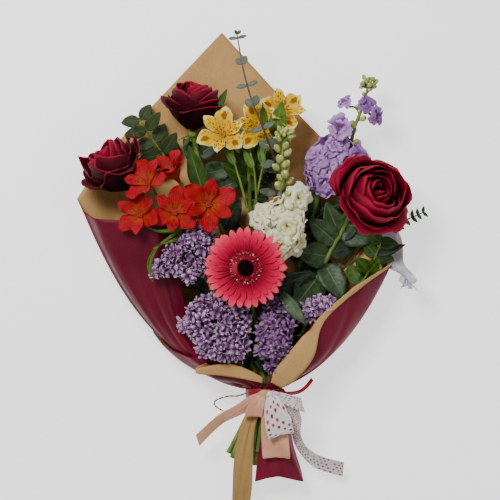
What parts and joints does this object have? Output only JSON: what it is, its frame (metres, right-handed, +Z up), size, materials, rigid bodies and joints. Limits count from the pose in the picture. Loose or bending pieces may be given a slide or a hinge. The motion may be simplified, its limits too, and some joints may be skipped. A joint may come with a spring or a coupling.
{
  "type": "mixed flower bouquet",
  "caption": "Mixed bouquet of garden flowers and leafy sprays in a two-tone paper wrap tied with satin ribbons, lying on its back; for gifts, tables and set dressing.",
  "frame": {"origin": "centre of the small flat patch on the underside of the paper wrap that the bouquet lies on", "axes": "+Y from the handle towards the blooms, +Z up from the surface that the bouquet lies on, +X across it to the viewer's right"},
  "size_m": [0.3793, 0.5221, 0.1123],
  "materials": {
    "kraft_paper": "matt brown paper",
    "burgundy_paper": "satin-finish dark red paper",
    "red_satin": "thin red satin ribbon",
    "peach_satin": "peach satin ribbon",
    "printed_satin": "pale satin ribbon with a small repeating print",
    "tissue": "crumpled pale tissue",
    "twine": "dark twisted twine",
    "rose_petal": "velvety petal",
    "gerbera_petal": "petal, lighter at the tips",
    "gerbera_disc": "dark fuzzy disc",
    "yellow_petal": "petal with dark dashes",
    "red_petal": "petal with a yellow throat",
    "white_petal": "soft petal",
    "purple_petal": "soft petal",
    "lilac_petal": "soft small petals",
    "green_stem": "satin leaf and stem",
    "dark_leaf": "satin leaf",
    "grey_leaf": "waxy leaf"
  },
  "bodies": {
    "root": {"wrap_back_sheet": "kraft_paper", "wrap_outer_sheet": "burgundy_paper", "kraft_tail": "kraft_paper", "handle_paper": "burgundy_paper", "tissue_frill": "tissue", "neck_ribbon": "red_satin", "peach_ribbon": "peach_satin", "printed_ribbon": "printed_satin", "twine": "twine", "rose_top_bloom": "rose_petal", "rose_left_bloom": "rose_petal", "rose_right_bloom": "rose_petal", "rose_top_stem": "green_stem", "rose_left_stem": "green_stem", "rose_right_stem": "green_stem", "gerbera_petals": "gerbera_petal", "gerbera_disc": "gerbera_disc", "gerbera_stem": "green_stem", "yellow_alstroemeria_floret_1": "yellow_petal", "yellow_alstroemeria_floret_2": "yellow_petal", "yellow_alstroemeria_floret_3": "yellow_petal", "yellow_alstroemeria_stem": "green_stem", "red_alstroemeria_floret_1": "red_petal", "red_alstroemeria_floret_2": "red_petal", "red_alstroemeria_floret_3": "red_petal", "red_alstroemeria_floret_4": "red_petal", "red_alstroemeria_floret_5": "red_petal", "red_alstroemeria_stem": "green_stem", "white_stock_florets": "white_petal", "white_stock_stem": "green_stem", "white_stock_buds": "white_petal", "purple_stock_florets": "purple_petal", "purple_stock_stem": "green_stem", "purple_stock_tip": "purple_petal", "lilac_upper_florets": "lilac_petal", "lilac_lower_florets": "lilac_petal", "lilac_centre_florets": "lilac_petal", "lilac_right_florets": "lilac_petal", "lilac_upper_stem": "green_stem", "lilac_lower_stem": "green_stem", "lilac_centre_stem": "green_stem", "lilac_right_stem": "green_stem", "eucalyptus_twig": "grey_leaf", "oval_leaf_spray": "green_stem", "ovate_leaf_spray": "green_stem", "fine_twig": "dark_leaf", "dark_twig": "dark_leaf"}
  },
  "joints": []
}
